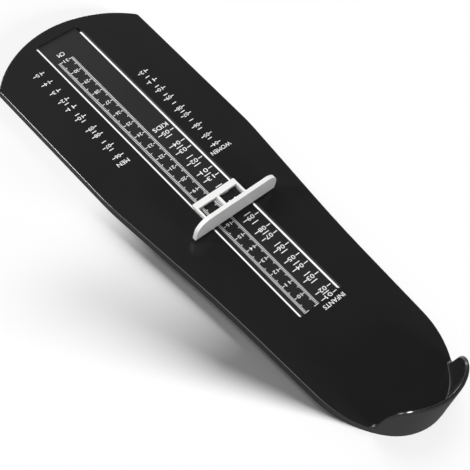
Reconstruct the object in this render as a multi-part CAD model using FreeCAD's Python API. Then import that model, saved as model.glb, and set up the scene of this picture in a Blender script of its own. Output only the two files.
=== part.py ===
import FreeCAD, Part
import math
import os

from FreeCAD import Vector

# A foot gauge: a moulded sole with a heel cup, and a toe stop that slides along two slots.
# A keeper under the sole snaps onto the legs of the toe stop and holds it down.
# Millimetres. +X is the right of a foot that stands on it, +Y runs from heel to toe, +Z is up.
# The origin is the centre of the outer box, on the surface that the gauge rests on.
# A value that ends in _at is a distance along the gauge from the inside of the heel wall,
# which is the zero of the printed scale. A blend is how far from a corner its rounding starts.

# sole outline
sole_width = 109.4
sole_length = 339.1
toe_radius = 78.8
toe_corner_radius = 3.6
hip_at = 208.4
hip_blend = 7.7
waist_width = 93.4
waist_at = 120.8
waist_blend = 22.9
ankle_width = 88.0
ankle_at = 55.0
heel_side_radius = 0.7 * ankle_width
heel_back_radius = 0.425 * ankle_width

# sole section
sole_height = 5.0
sole_skin = 2.0
skirt_wall = 2.0
wall_lean = 0.03
edge_radius = 0.7

# heel cup
cup_height = 27.7
cup_foot_wall = 2.7
cup_rim_wall = 2.3
cup_front_at = 16.2
cup_slope_run = 5.2
cup_crown_blend = 16.0
cup_notch_blend = 2.6
cup_notch_sink = 0.15
cup_floor_radius = 0.6

# slots and the sunk scale panel between them
slot_width = 2.15
slot_spacing = 31.25
slot_start_at = 89.6
slot_toe_margin = 8.4
panel_sink = 0.6

# ribs under the sole
rib_wall = 1.5
rib_gap_to_rest = 0.6
long_rib_spacing = 45.0
long_rib_start_at = 40.0
last_rib_toe_margin = 25.0
cross_rib_count = 7

# toe stop
stop_at = 162.0
stop_width = 63.0
stop_thickness = 2.8
stop_bottom_gap = 2.5
stop_height = 14.7
stop_corner_radius = 9.0
stop_edge_radius = 0.4

# carriage of the toe stop, measured back from the face of the stop
carriage_width = 33.0
carriage_front = 1.4
carriage_back = 20.0
carriage_top = 2.1
carriage_corner_radius = 0.6
carriage_edge_radius = 0.25
window_front = 6.5
window_back = 15.8
window_bar = 1.8
window_side = 1.5
window_corner_radius = 0.6
root_radius = 4.0
ride_clearance = 0.1

# legs and runners that reach down from the carriage
leg_front = 3.2
leg_back = 16.4
leg_thickness = 1.2
runner_side_gap = 0.6
hook_reach = 0.6
hook_height = 0.8
hook_nose = 0.4

# keeper under the sole
keeper_width = 35.6
keeper_length = 18.0
keeper_thickness = 1.3
keeper_corner_radius = 2.0
keeper_clearance = 0.15
slit_clearance = 0.1
hook_clearance = 0.05
tongue_length = 10.0
tongue_width = 3.6
tongue_cut = 0.9
tongue_spacing = 14.0
nub_radius = 1.2
nub_clearance = 0.02

# places that follow from the sizes above
cup_overhang = wall_lean * cup_height
heel_back_y = (cup_overhang - sole_length) / 2
zero_y = heel_back_y + cup_foot_wall
toe_tip_y = heel_back_y + sole_length
slot_end_y = toe_tip_y - slot_toe_margin
rim_z = sole_height + cup_height
panel_z = sole_height - panel_sink
under_z = sole_height - sole_skin
keeper_top_z = under_z - keeper_clearance
keeper_bottom_z = keeper_top_z - keeper_thickness
hook_top_z = keeper_bottom_z - hook_clearance
panel_half = (slot_spacing - slot_width) / 2
carriage_z = sole_height + ride_clearance
carriage_top_z = sole_height + carriage_top
carriage_half = carriage_width / 2
leg_inner_x = carriage_half - leg_thickness
stop_z = sole_height + stop_bottom_gap
leg_middle = (leg_front + leg_back) / 2
FAR = 2 * sole_length


def at(distance):
    """Model Y of a distance from the inside of the heel wall."""
    return zero_y + distance


class Arc:
    """A circular stretch of an outline, which turns left (+1) or right (-1)."""

    def __init__(self, centre, start, end, turn):
        self.centre, self.start, self.end, self.turn = centre, start, end, turn

    def outward(self, point):
        away = (point - self.centre).normalize()
        return away if self.turn > 0 else away.negative()

    def middle(self):
        radius = (self.start - self.centre).Length
        half_way = (self.start - self.centre) + (self.end - self.centre)
        return self.centre + half_way.normalize() * radius

    def edge(self, grow, z):
        points = [p + self.outward(p) * grow for p in (self.start, self.middle(), self.end)]
        return Part.Arc(*[Vector(p.x, p.y, z) for p in points]).toShape()

    def wall(self, low, high):
        """The face swept between two levels, each given as (growth of the outline, height)."""
        ends = [self.start + self.outward(self.start) * grow + Vector(0, 0, z) for grow, z in (low, high)]
        sweep = (self.start - self.centre).getAngle(self.end - self.centre)
        rising = Part.LineSegment(*ends).toShape()
        return rising.revolve(self.centre, Vector(0, 0, self.turn), math.degrees(sweep))

    def mirrored(self):
        flip = [Vector(-p.x, p.y, 0) for p in (self.centre, self.end, self.start)]
        return Arc(flip[0], flip[1], flip[2], self.turn)


class Straight:
    """A straight stretch of an outline that runs round the shape leftwards."""

    def __init__(self, start, end):
        self.start, self.end = start, end

    def ends(self, grow, z):
        along = (self.end - self.start).normalize()
        step = Vector(along.y * grow, -along.x * grow, z)
        return [self.start + step, self.end + step]

    def edge(self, grow, z):
        return Part.LineSegment(*self.ends(grow, z)).toShape()

    def wall(self, low, high):
        corners = self.ends(*low) + self.ends(*high)[::-1]
        return Part.Face(Part.makePolygon(corners + corners[:1]))

    def mirrored(self):
        return Straight(Vector(-self.end.x, self.end.y, 0), Vector(-self.start.x, self.start.y, 0))


def corner_arc(before, corner, after, blend):
    """The arc that rounds the corner between two straight stretches."""
    back = (before - corner).normalize()
    on = (after - corner).normalize()
    half_angle = back.getAngle(on) / 2
    centre = corner + (back + on).normalize() * (blend / math.cos(half_angle))
    turn = 1 if back.cross(on).z < 0 else -1
    return Arc(centre, corner + back * blend, corner + on * blend, turn)


def heel_arcs(side_foot, side_top):
    """The back arc and the side arc, tangent to each other and to the side above them."""
    back_centre = Vector(0, heel_back_y + heel_back_radius, 0)
    along = (side_top - side_foot).normalize()
    out = Vector(along.y, -along.x, 0)
    base = side_foot - out * heel_side_radius
    reach = heel_side_radius - heel_back_radius
    to_base = base - back_centre
    half = to_base.dot(along)
    slide = math.sqrt(half * half - to_base.dot(to_base) + reach * reach) - half
    side_centre = base + along * slide
    joint = back_centre + (back_centre - side_centre).normalize() * heel_back_radius
    start = Vector(0, heel_back_y, 0)
    side_end = side_centre + out * heel_side_radius
    return Arc(back_centre, start, joint, 1), Arc(side_centre, joint, side_end, 1)


def toe_arcs():
    """The rounded toe corner and the toe arc, up to the toe's tip."""
    half = sole_width / 2
    toe_centre = Vector(0, toe_tip_y - toe_radius, 0)
    reach = toe_radius - toe_corner_radius
    corner_x = half - toe_corner_radius
    corner_y = toe_centre.y + math.sqrt(reach * reach - corner_x * corner_x)
    corner_centre = Vector(corner_x, corner_y, 0)
    joint = toe_centre + (corner_centre - toe_centre).normalize() * toe_radius
    corner = Arc(corner_centre, Vector(half, corner_y, 0), joint, 1)
    return corner, Arc(toe_centre, joint, Vector(0, toe_tip_y, 0), 1)


def sole_outline():
    """The stretches of the outline, leftwards round from the back of the heel."""
    ankle = Vector(ankle_width / 2, at(ankle_at), 0)
    waist = Vector(waist_width / 2, at(waist_at), 0)
    hip = Vector(sole_width / 2, at(hip_at), 0)
    back, side = heel_arcs(ankle, waist)
    corner, toe = toe_arcs()
    waist_arc = corner_arc(side.end, waist, hip, waist_blend)
    hip_arc = corner_arc(waist, hip, corner.start, hip_blend)
    right = [back, side, Straight(side.end, waist_arc.start), waist_arc]
    right += [Straight(waist_arc.end, hip_arc.start), hip_arc]
    right += [Straight(hip_arc.end, corner.start), corner, toe]
    return right + [piece.mirrored() for piece in reversed(right)]


OUTLINE = sole_outline()


def outline_wire(grow, z):
    return Part.Wire([piece.edge(grow, z) for piece in OUTLINE])


def tapered_sole(low, high):
    """A solid between two levels, each given as (growth of the outline, height)."""
    faces = [piece.wall(low, high) for piece in OUTLINE]
    faces += [Part.Face(outline_wire(*level)) for level in (low, high)]
    shell = Part.makeShell(faces)
    shell.sewShape()
    return Part.makeSolid(shell)


def straight_sole(grow, z_low, z_high):
    face = Part.Face(outline_wire(grow, z_low))
    return face.extrude(Vector(0, 0, z_high - z_low))


def block(x_low, x_high, y_low, y_high, z_low, z_high):
    corner = Vector(x_low, y_low, z_low)
    return Part.makeBox(x_high - x_low, y_high - y_low, z_high - z_low, corner)


def upright_edges(shape):
    return [e for e in shape.Edges if abs(e.tangentAt(e.FirstParameter).z) > 0.99]


def prism_across(edges, width):
    """A prism along X of a profile that is drawn with Y and Z as its two axes."""
    prism = Part.Face(Part.Wire(edges)).extrude(Vector(0, 0, width))
    prism.translate(Vector(0, 0, -width / 2))
    return prism.rotate(Vector(0, 0, 0), Vector(1, 1, 1), 120)


def is_on(edge, shell):
    middle = edge.valueAt((edge.FirstParameter + edge.LastParameter) / 2)
    return shell.distToShape(Part.Vertex(middle))[0] < 1e-3


def skin(z):
    """The growth of the outline at a level of the outer wall, with that level."""
    return wall_lean * (z - sole_height), z


def lining(z):
    """The growth of the outline at a level of the heel cup's inner wall, with that level."""
    lean = (cup_foot_wall - cup_rim_wall + cup_overhang) / cup_height
    return lean * (z - sole_height) - cup_foot_wall, z


def clear_of_the_cup():
    """The space over the rim and ahead of the cup's two steep ends."""
    crown = Vector(at(cup_front_at - cup_slope_run), rim_z, 0)
    foot = Vector(at(cup_front_at), sole_height - cup_notch_sink, 0)
    tip = Vector(foot.x + 2 * cup_notch_blend, foot.y, 0)
    behind, over, ahead = Vector(-FAR, rim_z, 0), Vector(-FAR, FAR, 0), Vector(FAR, FAR, 0)
    below, under_tip = Vector(FAR, 0, 0), Vector(tip.x, 0, 0)
    brow = corner_arc(behind, crown, foot, cup_crown_blend)
    notch = corner_arc(crown, foot, tip, cup_notch_blend)
    path = [Straight(behind, brow.start), brow, Straight(brow.end, notch.start), notch]
    path += [Straight(notch.end, tip), Straight(tip, under_tip), Straight(under_tip, below)]
    path += [Straight(below, ahead), Straight(ahead, over), Straight(over, behind)]
    return prism_across([piece.edge(0, 0) for piece in path], 2 * sole_width)


def make_cup():
    """The heel end of the sole with the cup's wall on it, ended by the cup's two steep ends."""
    outer = tapered_sole(skin(under_z), skin(rim_z))
    hollow = tapered_sole(lining(sole_height), lining(rim_z + 1))
    foot = [e for e in hollow.Edges if e.BoundBox.ZMax < sole_height + 0.01]
    hollow = hollow.makeFillet(cup_floor_radius, foot)
    space = clear_of_the_cup()
    wall = outer.cut(hollow).cut(space)
    sides = [outer.Shells[0], hollow.Shells[0]]
    rim = [e for e in wall.Edges if is_on(e, space.Shells[0]) and any(is_on(e, s) for s in sides)]
    return wall.makeFillet(edge_radius, rim)


def slot(side):
    """The cutter of one long slot with round ends."""
    x = side * slot_spacing / 2
    half = slot_width / 2
    y_low, y_high = at(slot_start_at) + half, slot_end_y - half
    shaft = block(x - half, x + half, y_low, y_high, 0, FAR)
    ends = [Part.makeCylinder(half, FAR, Vector(x, y, 0)) for y in (y_low, y_high)]
    return shaft.multiFuse(ends)


def ribs():
    """Two long ribs beside the keeper's track, a spine at the heel, and ribs out to the skirt."""
    low, last = at(long_rib_start_at), toe_tip_y - last_rib_toe_margin
    half, rib_half = long_rib_spacing / 2, rib_wall / 2
    step = (last - low) / (cross_rib_count - 1)
    rows = [low + step * index for index in range(cross_rib_count)]
    pieces = [block(-rib_half, rib_half, -FAR, low, 0, sole_height)]
    pieces.append(block(-half, half, low - rib_half, low + rib_half, 0, sole_height))
    for side in (-half, half):
        pieces.append(block(side - rib_half, side + rib_half, low, FAR, 0, sole_height))
        ends = (side, FAR) if side > 0 else (-FAR, side)
        pieces += [block(*ends, y - rib_half, y + rib_half, 0, sole_height) for y in rows]
    inside = straight_sole(-skirt_wall / 2, rib_gap_to_rest, under_z + sole_skin / 2)
    return pieces[0].multiFuse(pieces[1:]).common(inside)


def make_base():
    slab = tapered_sole(skin(0), skin(sole_height))
    slab = slab.makeFillet(edge_radius, [e for e in slab.Edges if e.BoundBox.ZMin > sole_height - 0.01])
    body = slab.fuse(make_cup())
    body = body.cut(straight_sole(-skirt_wall, -1, under_z))
    body = body.cut([slot(-1), slot(1)])
    panel = block(-panel_half, panel_half, at(slot_start_at), slot_end_y, panel_z, FAR)
    body = body.cut(panel)
    return body.fuse(ribs()).removeSplitter()


def make_stop():
    """The upright face that meets the toe, with its two upper corners well rounded."""
    low, high = at(stop_at), at(stop_at) + stop_thickness
    face = block(-stop_width / 2, stop_width / 2, low, high, stop_z, stop_z + stop_height)
    along = [e for e in face.Edges if abs(e.tangentAt(e.FirstParameter).y) > 0.99]
    face = face.makeFillet(stop_corner_radius, [e for e in along if e.CenterOfMass.z > stop_z + 1])
    rims = [e for e in face.Edges if e.BoundBox.YMax - e.BoundBox.YMin < 0.01]
    return face.makeFillet(stop_edge_radius, rims)


def make_carriage():
    """The frame behind the stop, with two windows over the printed scale."""
    front = at(stop_at)
    low, high = front + carriage_front, front + carriage_back
    frame = block(-carriage_half, carriage_half, low, high, carriage_z, carriage_top_z)
    corners = [e for e in upright_edges(frame) if e.CenterOfMass.y > low + 1]
    frame = frame.makeFillet(carriage_corner_radius, corners)
    for side in (-1, 1):
        ends = sorted((side * window_bar / 2, side * (carriage_half - window_side)))
        window = block(*ends, front + window_front, front + window_back, 0, FAR)
        frame = frame.cut(window.makeFillet(window_corner_radius, upright_edges(window)))
    top = [e for e in frame.Edges if e.BoundBox.ZMin > carriage_top_z - 0.01]
    return frame.makeFillet(carriage_edge_radius, [e for e in top if e.CenterOfMass.y > low + 1])


def make_root():
    """The curved web that carries the load of the stop into the carriage."""
    low = at(stop_at) + carriage_front
    back = at(stop_at) + stop_thickness
    bottom = (carriage_z + carriage_top_z) / 2
    web = block(-carriage_half, carriage_half, low, back + root_radius, bottom,
                carriage_top_z + root_radius)
    centre = Vector(-FAR, back + root_radius, carriage_top_z + root_radius)
    return web.cut(Part.makeCylinder(root_radius, 2 * FAR, centre, Vector(1, 0, 0)))


def make_leg(side):
    """A leg through one slot, with a hook at its foot that catches under the keeper."""
    hook_low = hook_top_z - hook_height
    inner, outer = leg_inner_x, carriage_half
    tip = outer + hook_reach
    corners = [(inner, carriage_top_z - 1), (inner, hook_low), (outer, hook_low),
               (tip, hook_low + hook_nose), (tip, hook_top_z), (outer, hook_top_z),
               (outer, carriage_top_z - 1)]
    low = at(stop_at) + leg_front
    points = [Vector(side * x, low, z) for x, z in corners]
    return Part.Face(Part.makePolygon(points + points[:1])).extrude(Vector(0, leg_back - leg_front, 0))


def make_runners():
    """Pads under the carriage that ride on the sunk panel."""
    front = at(stop_at)
    low, top = panel_z + ride_clearance, carriage_top_z - 1
    half = panel_half - runner_side_gap
    pads = [block(-half, half, front + leg_front, front + window_front, low, top)]
    pads.append(block(-window_bar / 2, window_bar / 2, front + leg_front, front + leg_back, low, top))
    return pads


def make_slider():
    pieces = [make_carriage(), make_root(), make_leg(-1), make_leg(1)] + make_runners()
    return make_stop().multiFuse(pieces).removeSplitter()


def tongue_cuts(side):
    """Three cuts that free a springy tongue, and the nub that presses on the panel."""
    x = side * tongue_spacing / 2
    middle = at(stop_at) + leg_middle
    root, tip = middle - tongue_length / 2, middle + tongue_length / 2
    half, far = tongue_width / 2, tongue_width / 2 + tongue_cut
    cuts = [block(x - far, x - half, root, tip, 0, FAR), block(x + half, x + far, root, tip, 0, FAR)]
    cuts.append(block(x - far, x + far, tip - tongue_cut, tip, 0, FAR))
    height = under_z - nub_clearance - keeper_top_z
    ball = (nub_radius * nub_radius + height * height) / (2 * height)
    nub = Part.makeSphere(ball, Vector(x, tip - 3 * tongue_cut, under_z - nub_clearance - ball))
    return cuts, nub.common(block(-FAR, FAR, -FAR, FAR, keeper_top_z - 0.2, FAR))


def make_keeper():
    front = at(stop_at)
    low = front + leg_middle - keeper_length / 2
    plate = block(-keeper_width / 2, keeper_width / 2, low, low + keeper_length, keeper_bottom_z,
                  keeper_top_z)
    plate = plate.makeFillet(keeper_corner_radius, upright_edges(plate))
    slit_low, slit_high = front + leg_front - slit_clearance, front + leg_back + slit_clearance
    nubs = []
    for side in (-1, 1):
        ends = sorted((side * (leg_inner_x - slit_clearance), side * (carriage_half + slit_clearance)))
        cuts, nub = tongue_cuts(side)
        plate = plate.cut(cuts + [block(*ends, slit_low, slit_high, 0, FAR)])
        nubs.append(nub)
    return plate.multiFuse(nubs).removeSplitter()


os.makedirs("parts", exist_ok=True)
for name, make in (("base_plate", make_base), ("toe_slider", make_slider), ("slider_keeper", make_keeper)):
    solid = make()
    print(name, solid.isValid(), len(solid.Solids), round(solid.Volume / 1000, 2), "cm3")
    solid.exportStep("parts/" + name + ".step")
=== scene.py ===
import math

import bpy
from mathutils import Matrix, Vector


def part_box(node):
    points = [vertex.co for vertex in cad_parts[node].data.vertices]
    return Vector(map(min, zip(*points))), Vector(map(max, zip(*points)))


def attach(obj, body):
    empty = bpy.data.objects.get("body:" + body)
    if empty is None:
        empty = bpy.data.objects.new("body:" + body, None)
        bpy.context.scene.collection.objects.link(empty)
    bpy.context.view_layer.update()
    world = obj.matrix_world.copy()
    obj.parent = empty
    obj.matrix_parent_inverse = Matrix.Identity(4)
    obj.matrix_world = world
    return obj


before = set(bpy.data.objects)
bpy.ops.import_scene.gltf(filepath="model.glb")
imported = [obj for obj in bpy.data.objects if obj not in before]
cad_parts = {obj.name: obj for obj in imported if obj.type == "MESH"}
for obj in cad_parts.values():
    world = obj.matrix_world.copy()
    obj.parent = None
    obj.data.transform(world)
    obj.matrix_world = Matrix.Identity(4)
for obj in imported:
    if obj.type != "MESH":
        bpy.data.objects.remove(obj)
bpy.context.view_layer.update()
mm = 0.001


def report(stage):
    print("stage:", stage)


# lengths are in millimetres, and readings are from the inside of the heel wall
board = {
    "plateTop": 5.0,  # top of the sole above the floor
    "panelTop": 4.4,  # sunk panel between the slots
    "panelHalf": 14.6,  # edge of the panel from the middle line
    "sideTop": 4.2,  # where the side meets the rounded edge
    "heelWall": 3.506,  # from the back of the cup to the zero of the scale
    "toeMargin": 8.4,  # from the tip of the toe to the end of the slots
    "slotStart": 89.6,  # reading at which the slots and the panel start
    "slotHalf": 16.7,  # outer edge of each slot from the middle line
}
soleLow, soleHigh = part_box("base_plate")
zeroY = soleLow.y / mm + board["heelWall"]
slotStartY = zeroY + board["slotStart"]
slotEndY = soleHigh.y / mm - board["toeMargin"]
report("places on the board")


# wraps a socket, so that an expression on it adds its Math nodes
class Value:
    def __init__(self, shading, socket):
        self.shading, self.socket = shading, socket

    def math(self, operation, *others):
        return self.shading.math(operation, self, *others)

    def __add__(self, other): return self.math("ADD", other)
    def __radd__(self, other): return self.shading.math("ADD", other, self)
    def __sub__(self, other): return self.math("SUBTRACT", other)
    def __rsub__(self, other): return self.shading.math("SUBTRACT", other, self)
    def __mul__(self, other): return self.math("MULTIPLY", other)
    def __rmul__(self, other): return self.shading.math("MULTIPLY", other, self)
    def __gt__(self, other): return self.math("GREATER_THAN", other)
    def __lt__(self, other): return self.math("LESS_THAN", other)
    def __abs__(self): return self.math("ABSOLUTE")


class Shading:
    def __init__(self, tree):
        self.tree = tree

    def node(self, kind, settings, sockets):
        made = self.tree.nodes.new(kind)
        for key, value in settings.items():
            setattr(made, key, value)
        for key, value in sockets.items():
            self.feed(made.inputs[key], value)
        return made

    def feed(self, socket, value):
        if isinstance(value, Value):
            value = value.socket
        if isinstance(value, bpy.types.NodeSocket):
            self.tree.links.new(value, socket)
        else:
            socket.default_value = value

    def math(self, operation, *values):
        made = self.node("ShaderNodeMath", {"operation": operation}, dict(enumerate(values)))
        return Value(self, made.outputs[0])

    def smooth(self, value, low, high, first=0.0, last=1.0):
        made = self.node("ShaderNodeMapRange", {"interpolation_type": "SMOOTHSTEP"},
                         dict(enumerate((value, low, high, first, last))))
        return Value(self, made.outputs[0])

    def coordinates(self, kind):
        return self.node("ShaderNodeTexCoord", {}, {}).outputs[kind]

    def split(self, vector):
        made = self.node("ShaderNodeSeparateXYZ", {}, {"Vector": vector})
        return [Value(self, socket) for socket in made.outputs]


class Finish(Shading):
    def __init__(self, name):
        self.material = bpy.data.materials.new(name)
        self.material.use_nodes = True
        super().__init__(self.material.node_tree)
        self.shader = self.tree.nodes["Principled BSDF"]

    def place(self):  # in millimetres
        return [part * 1000 for part in self.split(self.coordinates("Object"))]

    def noise(self, perMetre, detail, rough=0.5, stretch=(1, 1, 1)):
        where = self.node("ShaderNodeMapping", {}, {
            "Vector": self.coordinates("Object"),
            "Scale": tuple(perMetre * share for share in stretch),
        })
        made = self.node("ShaderNodeTexNoise", {"noise_dimensions": "3D"}, {
            "Vector": where.outputs[0], "Scale": 1.0, "Detail": detail, "Roughness": rough,
        })
        return Value(self, made.outputs[0])

    def blend(self, factor, first, second):  # 0, 6, 7 and 2 are the colour sockets of a Mix node
        made = self.node("ShaderNodeMix", {"data_type": "RGBA"}, {0: factor, 6: first, 7: second})
        return made.outputs[2]

    def bump(self, height, distance, strength):
        made = self.node("ShaderNodeBump", {}, {
            "Height": height, "Distance": distance, "Strength": strength,
        })
        self.feed(self.shader.inputs["Normal"], made.outputs[0])

    def put(self, **sockets):
        for key, value in sockets.items():
            self.feed(self.shader.inputs[key.replace("_", " ")], value)


sole = {
    "grain": (2600, 2.0), "grainDepth": 0.00002, "grainStrength": 0.15,
    "cloud": (22, 3.0, 0.6), "rubbed": (60, 4.0, 0.7, (6.0, 0.25, 1.0)),
    "colours": ((0.0046, 0.0046, 0.0049, 1), (0.0062, 0.0062, 0.0066, 1)),
    "panelColour": (0.0072, 0.0072, 0.0075, 1), "panelShare": 0.6,
    "panelSpare": 0.2,  # above and below the panel's own height
    "edgesFrom": 18,  # from the middle line, past the slots
    "skin": 0.02,  # this near to the top counts as the top
    "rough": 0.22, "cloudRough": 0.05, "panelRough": 0.08, "rubbedRough": 0.08,
    "sideRough": 0.7, "outerRough": 0.75, "footRough": 0.1, "edgeShine": 0.11,
    "specular": 0.3,
}
cup = {
    "centre": zeroY + 34.7, "radius": 37.4,  # of the outline of the heel
    "notch": zeroY + 18.0,  # where the wall starts to rise
    "outerDepth": 0.25, "rimDepth": 2.5, "footDepth": 7.0,  # inwards from the outline
    "outerAbove": 0.3, "rimAbove": 2.8, "footBelow": 2.6,  # over the top of the sole
}


def soleFinish():
    f = Finish("blackSatinPlastic")
    x, y, z = f.place()
    grain, cloud, rubbed = f.noise(*sole["grain"]), f.noise(*sole["cloud"]), f.noise(*sole["rubbed"])
    top, sideTop = board["plateTop"], board["sideTop"]
    onPanel = (abs(x) < board["panelHalf"]) * (abs(z - board["panelTop"]) < sole["panelSpare"])
    edges = (z > sideTop) * (z < top - sole["skin"]) * (abs(x) > sole["edgesFrom"])
    fromHeel = (x * x + (y - cup["centre"]) * (y - cup["centre"])).math("SQRT")
    atCup = (y < cup["notch"]).math("MAXIMUM", z > top + cup["outerAbove"]) * (y < cup["centre"])
    outerWall = (fromHeel > cup["radius"] - cup["outerDepth"]) * atCup
    rim = (fromHeel > cup["radius"] - cup["rimDepth"]) * (z > top + cup["rimAbove"]) * (1 - outerWall)
    wallFoot = (fromHeel > cup["radius"] - cup["footDepth"]) * (z > top + sole["skin"])
    wallFoot = wallFoot * (z < top + cup["footBelow"]) * (1 - outerWall)
    side = (z < sideTop) * (1 - outerWall)

    colour = f.blend(cloud, *sole["colours"])
    colour = f.blend(onPanel * sole["panelShare"], colour, sole["panelColour"])
    rough = sole["rough"] + cloud * sole["cloudRough"] - (edges + rim) * sole["edgeShine"]
    rough = rough + onPanel * (sole["panelRough"] + rubbed * sole["rubbedRough"])
    rough = rough + side * sole["sideRough"] + outerWall * sole["outerRough"] + wallFoot * sole["footRough"]
    f.put(Base_Color=colour, Roughness=rough, Specular_IOR_Level=sole["specular"])
    f.bump(grain, sole["grainDepth"], sole["grainStrength"])
    return f.material


stop = {
    "cloud": (45, 3.0), "colours": ((0.80, 0.80, 0.79, 1), (0.86, 0.86, 0.855, 1)),
    "rough": 0.32, "cloudRough": 0.10, "grain": (3200, 2.0), "grainDepth": 0.000015, "grainStrength": 0.25,
}
keeper = {
    "cloud": (60, 3.0), "colours": ((0.58, 0.57, 0.53, 1), (0.66, 0.65, 0.61, 1)),
    "rough": 0.42, "cloudRough": 0.10, "grain": (2800, 2.0), "grainDepth": 0.00002, "grainStrength": 0.3,
}


def mouldedFinish(name, look):
    f = Finish(name)
    cloud = f.noise(*look["cloud"])
    f.put(Base_Color=f.blend(cloud, *look["colours"]), Roughness=look["rough"] + cloud * look["cloudRough"])
    f.bump(f.noise(*look["grain"]), look["grainDepth"], look["grainStrength"])
    return f.material


finishes = {
    "base_plate": soleFinish(),
    "toe_slider": mouldedFinish("whiteMouldedPlastic", stop),
    "slider_keeper": mouldedFinish("naturalAcetal", keeper),
}
for node, finish in finishes.items():
    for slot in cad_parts[node].material_slots:
        slot.material = finish
report("finishes of the moulded pieces")


ink = {
    "above": 0.025, "below": 0.02,  # how far it stands out of the plastic and goes in
    "line": 0.54, "fine": 0.40,  # widths of the lines
    "weight": 0.006, "wordWeight": 0.008, "curveSteps": 3,  # of the letters
    "cloud": (1400, 3.0), "colours": ((0.84, 0.84, 0.84, 1), (0.93, 0.93, 0.93, 1)),
    "rough": 0.50, "cloudRough": 0.12,
}
inkThick = ink["above"] + ink["below"]


def inkFinish():
    f = Finish("whiteInk")
    cloud = f.noise(*ink["cloud"])
    f.put(Base_Color=f.blend(cloud, *ink["colours"]), Roughness=ink["rough"] + cloud * ink["cloudRough"])
    return f.material


inkMaterial = inkFinish()


def selectOnly(*pieces):
    bpy.ops.object.select_all(action="DESELECT")
    for piece in pieces:
        piece.select_set(True)
    if pieces:
        bpy.context.view_layer.objects.active = pieces[0]


def inkPlace(x, reading, level):
    return Vector((x * mm, (zeroY + reading) * mm, (level + ink["above"] - inkThick / 2) * mm))


# a thin line across the board
def bar(xFrom, xTo, reading, level, width):
    selectOnly()
    bpy.ops.mesh.primitive_cube_add(size=1)
    made = bpy.context.object
    made.dimensions = (abs(xTo - xFrom) * mm, width * mm, inkThick * mm)
    made.location = inkPlace((xFrom + xTo) / 2, reading, level)
    bpy.ops.object.transform_apply(location=True, rotation=True, scale=True)
    return made


# the same line again and again along the board
def row(made, count, pitch):
    again = made.modifiers.new("again", "ARRAY")
    again.use_relative_offset = False
    again.use_constant_offset = True
    again.constant_offset_displace = (0, pitch * mm, 0)
    again.count = count
    selectOnly(made)
    bpy.ops.object.modifier_apply(modifier="again")
    return made


# text that reads upright from the toe end, with an exact width and height
def words(text, x, reading, level, size, weight=ink["weight"]):
    selectOnly()
    bpy.ops.object.text_add()
    made = bpy.context.object
    made.data.body = text
    made.data.align_x, made.data.align_y = "CENTER", "CENTER"
    made.data.resolution_u = ink["curveSteps"]
    made.data.offset = weight
    made.data.extrude = 0.02  # the fit below gives it the thickness of the ink
    bpy.ops.object.convert(target="MESH")
    made = bpy.context.object
    corners = [point.co for point in made.data.vertices]
    low = Vector(min(corner[i] for corner in corners) for i in range(3))
    high = Vector(max(corner[i] for corner in corners) for i in range(3))
    span = high - low
    fit = Matrix.Diagonal((size[0] * mm / span.x, size[1] * mm / span.y, inkThick * mm / span.z, 1))
    turn = Matrix.Rotation(math.pi, 4, "Z")
    spot = Matrix.Translation(inkPlace(x, reading, level))
    made.data.transform(spot @ turn @ fit @ Matrix.Translation(-(low + high) / 2))
    return made


# keeps what lies on one side of the heel end of the panel
def cutAtPanelEnd(made, keepToe):
    selectOnly(made)
    bpy.ops.object.mode_set(mode="EDIT")
    bpy.ops.mesh.select_all(action="SELECT")
    bpy.ops.mesh.bisect(plane_co=(0, slotStartY * mm, 0), plane_no=(0, 1, 0), use_fill=True,
                        clear_inner=keepToe, clear_outer=not keepToe)
    bpy.ops.object.mode_set(mode="OBJECT")
    return made


def finishPrint(name, made):
    selectOnly(*made)
    bpy.ops.object.join()
    whole = bpy.context.object
    whole.name = name
    whole.data.materials.clear()
    whole.data.materials.append(inkMaterial)
    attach(whole, "base")


cmBand = {
    "first": 90, "last": 310, "edges": ((-12.66, -10.76), (-1.04, -2.93)), "five": 1.0, "ten": 1.75,
    "numbers": -6.65, "size": (3.35, 2.35), "word": ("CM", -6.4, 315.5, (4.9, 3.0)), "wordWeight": 0.012,
}


def printCmBand():
    level, first, last = board["panelTop"], cmBand["first"], cmBand["last"]
    tens, lines = (last - first) // 10, []
    for edge, tip in cmBand["edges"]:
        inward = math.copysign(1, tip - edge)
        lines.append(row(bar(edge, tip, first, level, ink["fine"]), last - first + 1, 1))
        five = bar(tip, tip + inward * cmBand["five"], first + 5, level, ink["fine"])
        ten = bar(tip, tip + inward * cmBand["ten"], first, level, ink["fine"])
        lines += [row(five, tens, 10), row(ten, tens + 1, 10)]
    for reading in range(first + 10, last + 10, 10):
        lines.append(words(str(reading // 10), cmBand["numbers"], reading, level, cmBand["size"]))
    text, x, reading, size = cmBand["word"]
    lines.append(words(text, x, reading, level, size, cmBand["wordWeight"]))
    finishPrint("cmScalePrint", lines)


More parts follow.
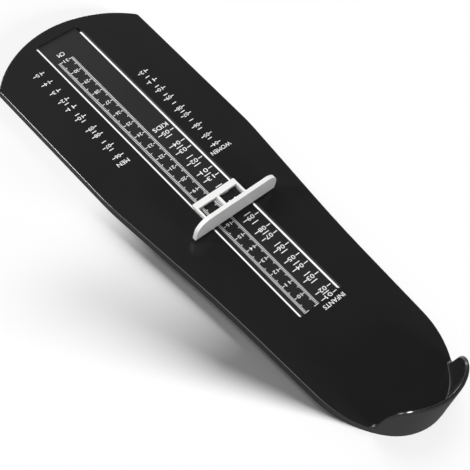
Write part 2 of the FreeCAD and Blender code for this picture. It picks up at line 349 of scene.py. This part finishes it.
# readings of the numbers and of the half sizes are in centimetres
kids = {
    "x": 7.1, "half": 4.95, "ticks": ((13.5, 10.5), (4.5, 1.3)), "size": (5.1, 2.85),
    "words": (("INFANTS", 6.7, 85.4, (16.4, 2.9)), ("KIDS", 7.1, 237.0, (10.9, 3.1))),
    "numbers": (*range(1, 14), *range(1, 6)),
    "readings": (9.0, 9.5, 10.5, 11.4, 12.1, 13.0, 14.0, 14.6, 15.6, 16.5, 17.1, 18.1, 19.1,
                 19.7, 20.6, 21.6, 22.2, 23.2),
    "halves": (9.25, 10.2, 10.8, 11.7, 12.7, 13.3, 14.3, 15.2, 15.9, 16.8, 17.8, 18.4, 19.4,
               20.3, 21.0, 21.9, 22.9),
}
women = {
    "x": 26.0, "half": 3.2, "ticks": ((30.0, 28.0), (24.1, 22.1)), "size": (3.7, 2.5),
    "words": (("WOMEN", 26.4, 203.3, (15.3, 2.8)),),
    "numbers": range(4, 13),
    "readings": (20.8, 21.6, 22.5, 23.5, 24.1, 25.1, 25.9, 26.7, 27.54),
    "halves": (21.3, 22.2, 23.0, 23.8, 24.6, 25.4, 26.2, 27.1),
}
men = {
    "x": -27.9, "half": 3.2, "ticks": ((-23.8, -25.9), (-29.9, -32.0)), "size": (3.7, 2.5),
    "words": (("MEN", -28.3, 229.7, (8.6, 2.8)),),
    "numbers": range(6, 16),
    "readings": (23.5, 24.4, 25.4, 26.0, 27.0, 27.9, 28.6, 29.4, 30.2, 31.0),
    "halves": (24.1, 24.8, 25.7, 26.7, 27.3, 28.3),
}


def printColumn(name, column, level):
    x, size, lines = column["x"], column["size"], []
    for number, reading in zip(column["numbers"], column["readings"]):
        text, at = f"{number:02d}", reading * 10
        lines += [bar(start, end, at, level, ink["line"]) for start, end in column["ticks"]]
        if level < board["plateTop"] and at - size[1] / 2 < board["slotStart"]:
            lines.append(cutAtPanelEnd(words(text, x, at, level, size), keepToe=True))
            lines.append(cutAtPanelEnd(words(text, x, at, board["plateTop"], size), keepToe=False))
        else:
            lines.append(words(text, x, at, level, size))
    for reading in column["halves"]:
        lines.append(bar(x - column["half"] / 2, x + column["half"] / 2, reading * 10, level, ink["line"]))
    for text, wordX, at, wordSize in column["words"]:
        wordLevel = level if at > board["slotStart"] else board["plateTop"]
        lines.append(words(text, wordX, at, wordLevel, wordSize, ink["wordWeight"]))
    finishPrint(name, lines)


printCmBand()
printColumn("kidsScalePrint", kids, board["panelTop"])
printColumn("womenScalePrint", women, board["plateTop"])
printColumn("menScalePrint", men, board["plateTop"])
report("print on the board")


camera = {
    "place": (-369.17, -251.65, 632.27), "aim": (-9.03, -14.15, 5.0), "roll": 16.739,
    "lens": 101.11, "sensor": 36.0, "clip": (0.01, 20.0),  # the clip is in metres
}


# turns an object's front from its place towards an aim
def lookAt(place, aim):
    return Matrix.Translation(place) @ (aim - place).to_track_quat("-Z", "Y").to_matrix().to_4x4()


def addCamera():
    data = bpy.data.cameras.new("view")
    data.lens, data.sensor_width = camera["lens"], camera["sensor"]
    data.clip_start, data.clip_end = camera["clip"]
    made = bpy.data.objects.new("view", data)
    bpy.context.scene.collection.objects.link(made)
    roll = Matrix.Rotation(math.radians(camera["roll"]), 4, "Z")
    made.matrix_world = lookAt(Vector(camera["place"]) * mm, Vector(camera["aim"]) * mm) @ roll
    bpy.context.scene.camera = made


addCamera()
report("camera")


floorLook = {
    "side": 8.0,  # in metres
    "colour": (0.45, 0.45, 0.45, 1), "rough": 0.9,
    "glowAround": (4, 1, 5),  # past the slots at the side, the heel end and the toe end
    "glowFade": (0.0, 60.0), "fadeShare": 0.9,  # grows towards the toe
    "shadeFrom": 10, "shadeAround": (6, 2, 7),  # past the slot, before its toe end and after it
}


# a painted glow makes the floor white under the slots and towards the toe, over its shadow; at the end of the
# right slot the glow is left out, a painted shade
def addFloor():
    selectOnly()
    bpy.ops.mesh.primitive_plane_add(size=floorLook["side"])
    floor = bpy.context.object
    floor.name = "floor"
    f = Finish("paleFloor")
    x, y, _ = f.place()
    f.put(Base_Color=floorLook["colour"], Roughness=floorLook["rough"], Specular_IOR_Level=0.0)
    aside, before, after = floorLook["glowAround"]
    # painted light: a glow whitens the floor under the slots, where it lies in the board's shadow
    glowUnderSlots = (abs(x) < board["slotHalf"] + aside) * (y > slotStartY - before) * (y < slotEndY + after)
    # painted shade: at the toe end of the right slot the glow is left out, so that end shows darker
    aside, before, after = floorLook["shadeAround"]
    paintedShade = (x > floorLook["shadeFrom"]) * (x < board["slotHalf"] + aside)
    paintedShade = paintedShade * (y > slotEndY - before) * (y < slotEndY + after)
    # painted light: a glow that grows towards the toe washes out the floor's shadow there
    glowTowardsToe = f.smooth(y, *floorLook["glowFade"]) * floorLook["fadeShare"]
    white = glowUnderSlots.math("MAXIMUM", glowTowardsToe) * (1 - paintedShade)
    path = f.node("ShaderNodeLightPath", {}, {})
    rays = ("Is Camera Ray", "Is Glossy Ray", "Is Transmission Ray")
    direct, glossy, through = [Value(f, path.outputs[ray]) for ray in rays]
    seen = direct.math("MAXIMUM", glossy).math("MAXIMUM", through)
    glow = f.node("ShaderNodeEmission", {}, {"Color": (1, 1, 1, 1), "Strength": 1.0})
    picked = f.node("ShaderNodeMixShader", {}, {
        0: seen * white, 1: f.shader.outputs[0], 2: glow.outputs[0],
    })
    f.feed(f.tree.nodes["Material Output"].inputs["Surface"], picked.outputs[0])
    floor.data.materials.append(f.material)
    return floor


# places and sizes are in metres
lamps = (
    {"name": "top", "lights": "piece", "place": (-0.45, 0.35, 1.5), "size": (1.0, 1.0), "watts": 25.0},
    {"name": "leftEdge", "lights": "sole", "place": (-1.25, 0.80, 0.72), "size": (0.22, 0.8), "watts": 40.0},
    {"name": "rim", "lights": "sole", "place": (0.75, 1.25, 0.25), "size": (0.25, 0.25), "watts": 6.0},
    {"name": "brow", "lights": "sole", "place": (-0.05, 1.3, 0.6), "size": (0.25, 0.25), "watts": 12.0},
    {"name": "behindHeel", "lights": "sole", "place": (0.05, -1.25, 0.35), "size": (0.4, 0.4), "watts": 26.0},
)
# these light the floor alone
floorSuns = (
    {"name": "sweep", "towards": (0.49, -0.849, 0.165), "softness": 14, "strength": 33.5},
    {"name": "halo", "towards": (0.25, 0.433, 0.866), "softness": 30, "strength": 0.7},
)
# each fade of the sky starts and ends at these heights, with these strengths
skyFades = ((0.25, 0.60, 0.80, 0.26), (0.68, 0.86, 1.0, 0.12))


def hang(data, place, lit):
    lamp = bpy.data.objects.new(data.name, data)
    bpy.context.scene.collection.objects.link(lamp)
    lamp.matrix_world = lookAt(Vector(place), Vector())
    only = bpy.data.collections.new(data.name + "Lights")
    for one in lit:
        only.objects.link(one)
    lamp.light_linking.receiver_collection = only


def addLamps(floor):
    pieces = [one for one in bpy.context.scene.objects if one.type == "MESH" and one is not floor]
    lit = {"piece": pieces, "sole": [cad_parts["base_plate"]]}
    for lamp in lamps:
        data = bpy.data.lights.new(lamp["name"], "AREA")
        data.shape = "RECTANGLE"
        data.size, data.size_y = lamp["size"]
        data.energy = lamp["watts"]
        hang(data, lamp["place"], lit[lamp["lights"]])
    for sun in floorSuns:
        data = bpy.data.lights.new(sun["name"], "SUN")
        data.energy, data.angle = sun["strength"], math.radians(sun["softness"])
        hang(data, sun["towards"], [floor])


def addSky():
    world = bpy.data.worlds.new("studio")
    bpy.context.scene.world = world
    world.use_nodes = True
    sky = Shading(world.node_tree)
    height = sky.split(sky.coordinates("Generated"))[2]
    lowFade, highFade = [sky.smooth(height, *fade) for fade in skyFades]
    background = sky.tree.nodes["Background"]
    sky.feed(background.inputs["Color"], (1, 1, 1, 1))
    sky.feed(background.inputs["Strength"], lowFade * highFade)


addLamps(addFloor())
addSky()
bpy.context.scene.view_settings.view_transform = "Standard"
report("floor and light")
